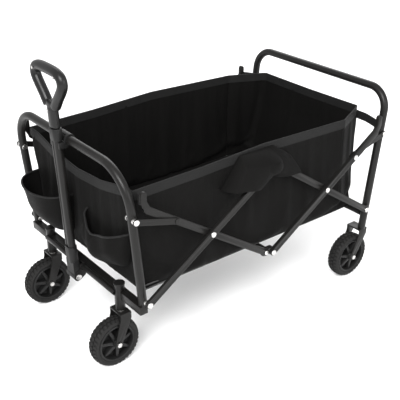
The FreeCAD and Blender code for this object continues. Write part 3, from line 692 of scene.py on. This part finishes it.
RIM = [p for group in rim_points() for p in group]
BASE = [(x, y, FLOOR_Z) for group in base_points() for x, y, _ in group]


def loop_place(points, share):
    """A point part of the way round a closed line, by the rim's own lengths."""
    whole = share % 1.0 * LOOP_LENGTH
    for i, run in enumerate(RUNS):
        if whole <= run or i == len(RUNS) - 1:
            t = min(1.0, whole / run)
            p, q = Vector(points[i]), Vector(points[(i + 1) % len(points)])
            return p.lerp(q, t)
        whole -= run


RUNS = [(Vector(RIM[(i + 1) % len(RIM)]) - Vector(RIM[i])).length for i in range(len(RIM))]
LOOP_LENGTH = sum(RUNS)
MARKS = [sum(RUNS[:i]) / LOOP_LENGTH for i in range(len(RIM))]
CORNERS = {"left": (MARKS[0], MARKS[4]), "rear": (MARKS[4], MARKS[8]), "right": (MARKS[8], MARKS[12]),
           "front": (MARKS[12], 1.0)}


def wall_place(u, v):
    low, high = loop_place(BASE, u), loop_place(RIM, u)
    return at(*low.lerp(high, v))


def crumple(p):
    """A small uneven push that starts the folds, the same on every run."""
    q = Vector((p.x * 4.5 + p.z * 5, p.y * 5, p.z * 4.5 - p.x * 3))
    return noise.noise(q) * 0.8 + noise.noise(q * 2.3 + Vector((5, 1, 2))) * 0.3


def drape_walls():
    """The four walls as one band of cloth, a little longer than the room it has, left to hang."""
    across = int(LOOP_LENGTH / STEP)
    rows = int(WALL_TALL / STEP)
    wall = sheet_grid("bed_walls", across, rows, wall_place)
    pick(wall)
    bpy.ops.object.mode_set(mode="EDIT")
    bpy.ops.mesh.select_all(action="SELECT")
    bpy.ops.mesh.remove_doubles(threshold=0.0005)
    bpy.ops.object.mode_set(mode="OBJECT")
    rest = [v.co.copy() for v in wall.data.vertices]
    height = {}
    for v in wall.data.vertices:
        height[v.index] = (v.co.z / MM - FLOOR_Z) / WALL_TALL
    held = wall.vertex_groups.new(name="held")
    for v in wall.data.vertices:
        h = height[v.index]
        top = rim_height_gap(v.co)
        grip = 1.0 if top < 6 or h < 0.02 else corner_hold(v.co)
        held.add([v.index], grip, "REPLACE")
    for v in wall.data.vertices:
        free = min(1.0, rim_height_gap(v.co) / 60) * min(1.0, height[v.index] / 0.15)
        v.co += outward_of(v.co) * crumple(v.co) * CRUMPLE_PUSH * MM * free
    m = wall.modifiers.new("cloth", "CLOTH")
    s = m.settings
    s.quality = 6
    s.mass = 0.25
    s.tension_stiffness = 25
    s.compression_stiffness = 25
    s.shear_stiffness = 8
    s.bending_stiffness = 0.9
    s.shrink_min = -0.014
    s.shrink_max = -0.014
    s.vertex_group_mass = "held"
    s.pin_stiffness = 1.0
    m.collision_settings.use_collision = False
    m.collision_settings.use_self_collision = False
    scene = bpy.context.scene
    for f in range(1, CLOTH_FRAMES + 1):
        scene.frame_set(f)
    apply_all(wall)
    scene.frame_set(1)
    for v, start in zip(wall.data.vertices, rest):
        push = v.co - start
        out = outward_of(start)
        depth = push.dot(out)
        limit = max(DEEPEST_IN * MM, min(FURTHEST_OUT * MM, depth))
        v.co += out * (limit - depth)
    return wall


def rim_height_gap(p):
    """How far below the rim a point of the wall is, in millimetres."""
    x, y = (p.x - MIDDLE) / MM, p.y / MM
    if x > FRONT_LOW - 12 and abs(y) < SIDE_Y - 8:
        t = min(1.0, abs(y) / 205)
        top = 474 + (502 - 474) * t ** 1.6
    elif x > 0:
        top = 521 - 14 * min(1.0, x / 398)
    else:
        top = 521 - 8 * min(1.0, -x / 300)
    return top - p.z / MM


def corner_hold(p):
    x, y = abs((p.x - MIDDLE) / MM), abs(p.y / MM)
    front = p.x > MIDDLE
    if front and x > 368 and y > SIDE_Y - 10:
        return 0.5
    if not front and y > SIDE_Y - 16 and x > 350:
        return 0.25
    return 0.0


def outward_of(p):
    x, y = (p.x - MIDDLE) / MM, p.y / MM
    if x > FRONT_LOW - 6 and abs(y) < SIDE_Y - 6:
        return X
    if x < CORNER_X - 4:
        return -X if abs(y) < CORNER_Y + 4 else Vector((-0.55, math.copysign(0.84, y), 0))
    return Vector((0, math.copysign(1, y), 0))


def cut_panel(wall, name, part):
    """One side of the wall as its own panel."""
    panel = copy_of(wall, name)
    select_faces(panel, lambda f: part_of(f.center) != part)
    bpy.ops.mesh.delete(type="FACE")
    bpy.ops.object.mode_set(mode="OBJECT")
    return panel


def part_of(p):
    """Which side of the bed a point of the wall belongs to, from its plan."""
    x, y = (p.x - MIDDLE) / MM, p.y / MM
    lean = max(0.0, min(1.0, (p.z / MM - FLOOR_Z) / WALL_TALL))
    front = FRONT_LOW + (FRONT_HIGH - FRONT_LOW) * lean
    if x < CORNER_X:
        return "rear"
    if abs(y) < SIDE_Y - 22 or x > front - 3.5 and abs(y) < SIDE_Y - 4.5:
        return "front"
    return "left" if y > 0 else "right"


def finish_cloth(piece, material, thickness=1.4):
    subdivide(piece, 1)
    thicken(piece, thickness)
    coat(smooth(piece, 180), material)
    return piece


def hang(piece, *nodes):
    """The piece rides on the bed, and the CAD nodes it stands in for are hidden."""
    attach(piece, "bed")
    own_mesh(piece)
    if nodes:
        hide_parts(*nodes)
    return piece


def strip(name, points, width, thickness, count):
    """A flat tape that follows a line of points and hangs down from it by its width."""
    lengths = [0.0]
    for a, b in zip(points, points[1:]):
        lengths.append(lengths[-1] + (b - a).length)

    def along(t):
        d = t * lengths[-1]
        for i in range(len(points) - 1):
            if d <= lengths[i + 1] or i == len(points) - 2:
                f = (d - lengths[i]) / max(1e-9, lengths[i + 1] - lengths[i])
                return points[i].lerp(points[i + 1], f)

    tape = sheet_grid(name, count, 3, lambda u, v: along(u) - Z * width * MM * (1 - v))
    return thicken(tape, thickness)


def edge_line(wall_points, lift, push):
    return [p + Z * lift * MM + outward_of(p) * push * MM for p in wall_points]


def make_hem(name):
    """The folded and stitched hem along the rim of one panel."""
    low, high = CORNERS[name]
    shares = [low + (high - low) * i / 40 for i in range(41)]
    top = [wall_place(min(s, 0.99999), 1.0) for s in shares]
    tapes = [strip("hem", edge_line(top, HEM_LIFT, push), HEM_WIDE, HEM_THICK, count=80)
             for push in (HEM_GAP, -HEM_GAP)]
    fold = [p + Z * 1.6 * MM for p in top]
    tapes.append(tube_between("hem", fold, 2.4, 4, order=2))
    hem = join("bed_hem_" + name, tapes)
    coat(smooth(hem, 40), TAPE)
    return hang(hem)


def make_piping(side, tag):
    """Two rolled edges along the bottom of the side panel's front half; their light colour is a painted
    highlight on black piping.
    """
    rolls = []
    for lift, push in ((4, 3.2), (15, 3.0)):
        line = [at(x, side * (SIDE_Y + push), FLOOR_Z + lift) for x in (6, 100, 200, 300, 374)]
        rolls.append(tube_between("piping", line, 1.9, 4))
    rolls = join("bed_piping_" + tag, rolls)
    # the light colour put on here is a painted highlight, not the piping's own colour
    coat(rolls, PIPING_PAINTED_HIGHLIGHT)
    return hang(rolls)


def make_floor():
    low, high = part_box("bed_floor")
    board = sheet_grid("floor_cloth", 60, 40, lambda u, v: Vector((
        low.x + (high.x - low.x) * (0.004 + 0.992 * u),
        low.y + (high.y - low.y) * (0.006 + 0.988 * v),
        high.z - 0.0016 + 0.0012 * noise.noise(Vector((u * 9, v * 7, 0.3))) - 0.0012 * groove(u))))
    finish_cloth(board, FLOOR_CLOTH, 2.4)
    return hang(board, "bed_floor")


def groove(u):
    """The floor's boards fold between four panels."""
    return max(0.0, *(1 - abs(u - k) / 0.012 for k in (0.25, 0.5, 0.75)))


def sheet_of(piece, width, held, extras=()):
    area = sum(f.area for f in piece.data.polygons)
    return dict(flat=(width, round(area / width, 3)), held=held, with_pieces=list(extras))


POUCH_SHAPES = {
    # mouth sag, sag's turn, reach at the mouth and at the belly, rise of the bottom
    "left": (0.046, -0.3, 0.58, 0.92, 0.030),
    "right": (0.004, 0.0, 1.34, 1.02, 0.012),
}


def make_pouch(side, tag):
    """A wide cup pouch: the left one's mouth droops, the right one's ring stands open."""
    sag, turn, mouth, belly, rise = POUCH_SHAPES[tag]
    low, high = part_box("cup_pouch_" + tag)
    mid_y = (low.y + high.y) / 2
    half = (high.y - low.y) / 2 - 2 * MM
    deep = high.x - low.x - 2 * MM

    def place(u, v):
        a = math.pi * (u - 0.5)
        round_out = math.sin(min(1.0, 0.25 + v * 1.3) * math.pi / 2)
        reach = deep * (belly * round_out + (mouth - belly) * v ** 2)
        reach *= max(0.0, math.cos(a)) ** 0.7 * (1 + 0.05 * math.sin(a * 5 + side) * (1 - v))
        reach += 2.5 * MM * math.sin(a * 7 + v * 5) * math.cos(a) * (sag > 0.01)
        droop = max(0.0, 1 - abs(a - turn) / (math.pi / 2)) ** 1.15
        bottom = low.z + rise + 0.022 * abs(math.sin(a)) ** 3
        top = high.z - 0.004 - sag * droop
        z = bottom + (top - bottom) * v + 0.004 * math.sin(a * 3) * (1 - v)
        return Vector((low.x + max(0.0, reach), mid_y + half * (0.84 + 0.16 * v ** 0.6) * math.sin(a), z))

    cup = sheet_grid("cup_pouch_" + tag + ".cloth", 56, 30, place)
    base = sheet_grid("cup_base_" + tag, 56, 10, lambda u, v: place(u, 0) * v + Vector(
        (low.x, mid_y + half * 0.8 * (u - 0.5) * 2 * 0.9, place(u, 0).z + 0.002)) * (1 - v))
    cup = join("cup_pouch_" + tag + ".cloth", [cup, base])
    outward(cup)
    ring = [place(i / 28, 1.0) + Vector((0, 0, 0.002)) for i in range(29)]
    tape = coat(tube_between("cup_ring_" + tag, ring, 2.6, 5, order=3), TAPE)
    hang(tape)
    cut = sheet_of(cup, 0.3, "gathered", [tape])
    finish_cloth(cup, END_CLOTH, 1.2)
    return hang(cup, "cup_pouch_" + tag)


ARM_RUN, ARM_DROP = 0.833, 0.553
PIN_X, PIN_Z = 8, 478


def hump(x, z, way, above, below):
    """How far the cover stands off the wall over one arm, from 0 to 1."""
    along = way * (x - way * PIN_X) * ARM_RUN - (z - PIN_Z) * ARM_DROP
    over = way * (x - way * PIN_X) * ARM_DROP + (z - PIN_Z) * ARM_RUN
    t = over / (above if over > 0 else below)
    back = max(0.0, -along / 34)
    return max(0.0, 1 - t * t - back * back) ** 0.45


def make_arm_cover(side, tag):
    """One draped cover over the top pivot, with a mouth at its foot for each arm."""
    def place(u, v):
        foot_x, foot_z = -116 + 264 * u, 428 + 10 * u ** 3 + 5 * math.sin(u * 9)
        head_x, head_z = -66 + 150 * u, 515
        x = foot_x + (head_x - foot_x) * v
        z = foot_z + (head_z - foot_z) * v
        front = COVER_OUT_FRONT * hump(x, z, 1, 80, 40)
        rear = COVER_OUT_REAR * hump(x, z, -1, 40, 30)
        off = (front ** 3 + rear ** 3) ** (1 / 3)
        edge = min(1.0, u / 0.07, (1 - u) / 0.07, (1 - v) / 0.3)
        fold = 1.6 * noise.noise(Vector((x * 0.03, z * 0.02, side)))
        return at(x, side * (SIDE_Y + 2.6 + (off + fold) * math.sqrt(max(0.0, edge))), z)

    cover = sheet_grid("arm_cover_" + tag, 84, 34, place)
    outward(cover)
    cut = sheet_of(cover, 0.264, "stretched")
    finish_cloth(cover, SIDE_CLOTH, 1.2)
    return hang(cover)


def dress_bed():
    wall = drape_walls()
    extras = {name: [make_hem(name)] for name in CORNERS}
    extras["rear"].append(make_corner_straps())
    for side, tag in ((1, "left"), (-1, "right")):
        extras[tag].append(make_piping(side, tag))
    for tag, node, material, width in (
        ("left", "bed_side_left", SIDE_CLOTH, 0.698),
        ("right", "bed_side_right", SIDE_CLOTH, 0.698),
        ("rear", "bed_rear_panel", END_CLOTH, 0.66),
        ("front", "bed_front_panel", END_CLOTH, 0.494),
    ):
        panel = cut_panel(wall, "bed_wall_" + tag, tag)
        cut = sheet_of(panel, width, "stretched", extras[tag])
        finish_cloth(panel, material)
        hang(panel, node)
    pick(wall)
    bpy.ops.object.delete()
    make_floor()
    for side, tag in ((1, "left"), (-1, "right")):
        make_pouch(side, tag)
        make_arm_cover(side, tag)


def make_corner_straps():
    """Tabs that tie the bed's top corners to the bent tips of the arms."""
    tabs = []
    tip_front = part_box("front_tip_arm_left")[1]
    tip_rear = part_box("rear_tip_arm_left")
    for side in (1, -1):
        fx = (tip_front.x - MIDDLE) / MM - 9
        line = [at(fx - 6, side * 249, 500), at(fx - 6, side * 262, 502), at(fx - 4, side * 277, 499)]
        tabs.append(strip("tab", line, 26, 2.0, count=16))
        rx = (tip_rear[0].x - MIDDLE) / MM + 9
        wrap = [at(REAR_HIGH + 8, side * 200, 508), at(rx - 16, side * 232, 506),
                at(rx - 12, side * 262, 503), at(rx - 8, side * 284, 500)]
        tabs.append(strip("tab", wrap, 24, 2.0, count=20))
    straps = join("corner_tabs", tabs)
    coat(smooth(straps, 40), TAPE)
    return hang(straps, "bed_straps")


# ---- stage, lights and camera
def make_stage():
    bpy.ops.mesh.primitive_plane_add(size=14, location=(0, 0, 0))
    ground = bpy.context.active_object
    ground.name = "studio_floor"
    mat = bpy.data.materials.new("studio floor")
    mat.use_nodes = True
    mat.node_tree.nodes["Principled BSDF"].inputs["Base Color"].default_value = (0.93, 0.93, 0.93, 1)
    mat.node_tree.nodes["Principled BSDF"].inputs["Roughness"].default_value = 0.75
    ground.data.materials.append(mat)
    world = bpy.data.worlds.new("studio")
    world.use_nodes = True
    world.node_tree.nodes["Background"].inputs[0].default_value = (1, 1, 1, 1)
    world.node_tree.nodes["Background"].inputs[1].default_value = 1.0
    bpy.context.scene.world = world


def softbox(name, place, aim, wide, tall, power):
    lamp = bpy.data.lights.new(name, "AREA")
    lamp.shape = "RECTANGLE"
    lamp.size, lamp.size_y, lamp.energy = wide, tall, power
    obj = bpy.data.objects.new(name, lamp)
    bpy.context.scene.collection.objects.link(obj)
    obj.location = place
    obj.rotation_euler = (Vector(aim) - Vector(place)).to_track_quat("-Z", "Y").to_euler()


def make_lights():
    softbox("key", (2.4, 2.0, 3.0), (0, 0, 0.3), 2.2, 1.6, 240)
    softbox("fill", (-0.6, 3.4, 1.5), (0, 0, 0.3), 2.4, 1.8, 50)
    softbox("back", (-2.6, -2.4, 2.8), (0, 0, 0.3), 2.6, 1.6, 70)


CAMERA_TURN, CAMERA_RISE = 142.22, 27.08
CAMERA_FAR = 2.1312
CAMERA_AIM = at(63.4, 40.3, 300)


def make_camera():
    turn, rise = math.radians(CAMERA_TURN), math.radians(CAMERA_RISE)
    back = Vector((math.sin(turn) * math.cos(rise), -math.cos(turn) * math.cos(rise), math.sin(rise)))
    lens = bpy.data.cameras.new("camera")
    lens.lens = 68.6
    lens.sensor_width = 36
    lens.shift_x = 0.016
    obj = bpy.data.objects.new("camera", lens)
    bpy.context.scene.collection.objects.link(obj)
    obj.location = CAMERA_AIM + back * CAMERA_FAR
    obj.rotation_euler = (-back).to_track_quat("-Z", "Y").to_euler()
    bpy.context.scene.camera = obj


make_camera()
make_stage()
make_lights()
bpy.context.scene.view_settings.view_transform = "Standard"
dress_metal()
dress_wheels()
dress_handle()
dress_bed()
